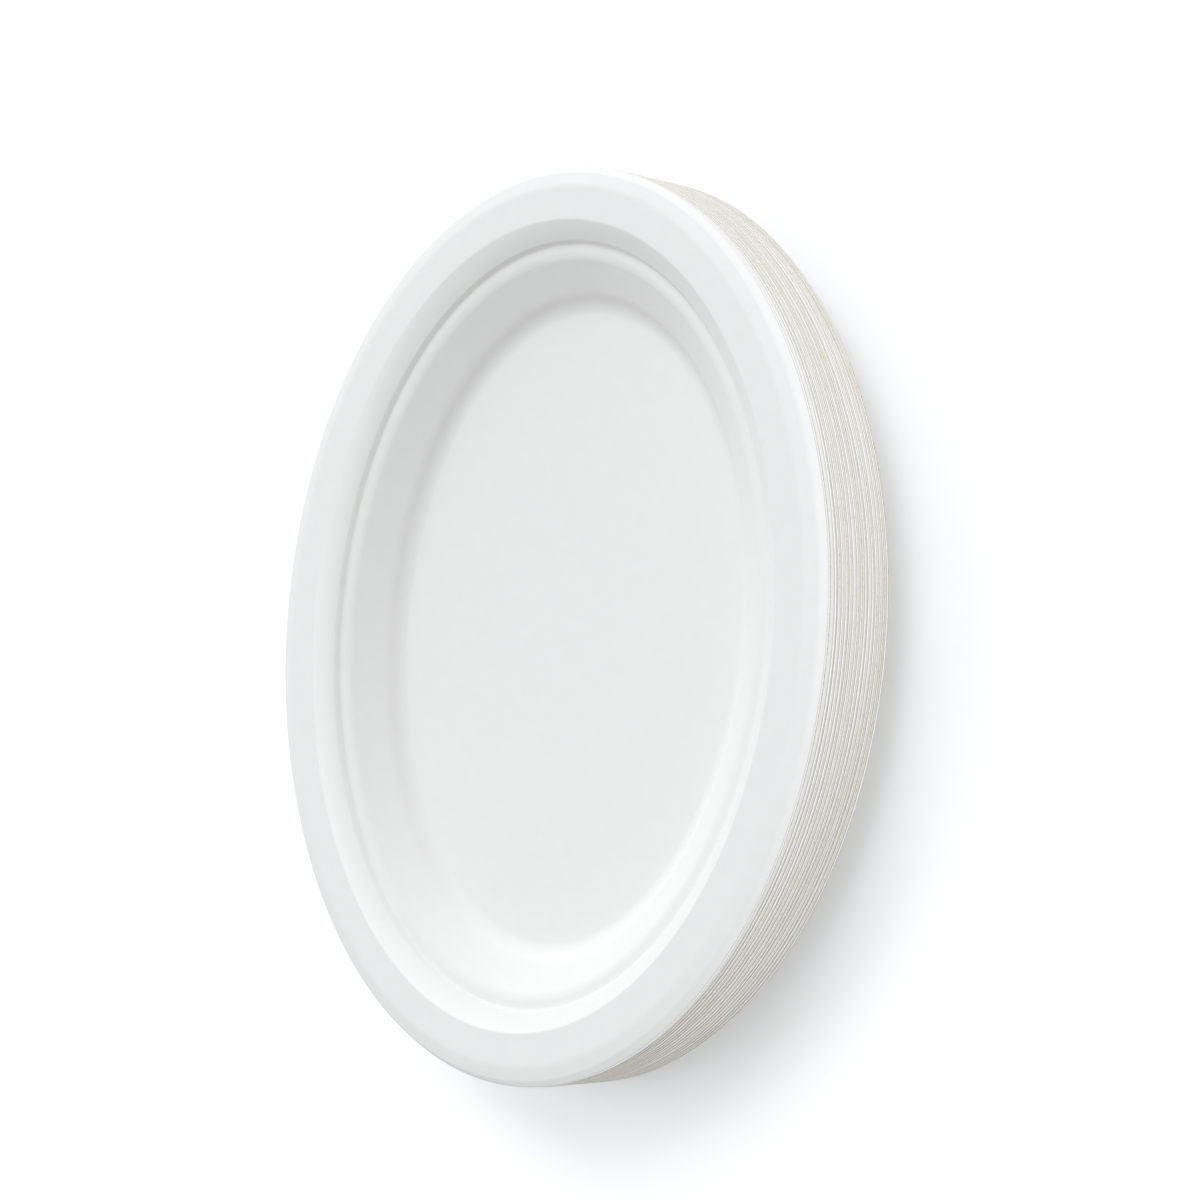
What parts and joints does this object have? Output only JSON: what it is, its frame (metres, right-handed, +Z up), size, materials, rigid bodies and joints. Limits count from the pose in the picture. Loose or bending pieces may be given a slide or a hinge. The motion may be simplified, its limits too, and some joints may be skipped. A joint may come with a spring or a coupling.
{
  "type": "stack of plates",
  "caption": "Stack of nested oval plates moulded from white fibre, each with a flat rim, a crisp step inside it and a shallow well, lying face up.",
  "frame": {"origin": "centre of the stack's footprint, on the surface the bottom plate rests on", "axes": "+Z up, the way the plates face; +Y along the long way of the oval; +X along its short way"},
  "size_m": [0.208, 0.26, 0.0412],
  "materials": {
    "moulded_fibre": "matte"
  },
  "bodies": {
    "root": {"plate_01": "moulded_fibre", "plate_02": "moulded_fibre", "plate_03": "moulded_fibre", "plate_04": "moulded_fibre", "plate_05": "moulded_fibre", "plate_06": "moulded_fibre", "plate_07": "moulded_fibre", "plate_08": "moulded_fibre", "plate_09": "moulded_fibre", "plate_10": "moulded_fibre", "plate_11": "moulded_fibre", "plate_12": "moulded_fibre", "plate_13": "moulded_fibre", "plate_14": "moulded_fibre", "plate_15": "moulded_fibre", "plate_16": "moulded_fibre"}
  },
  "joints": []
}
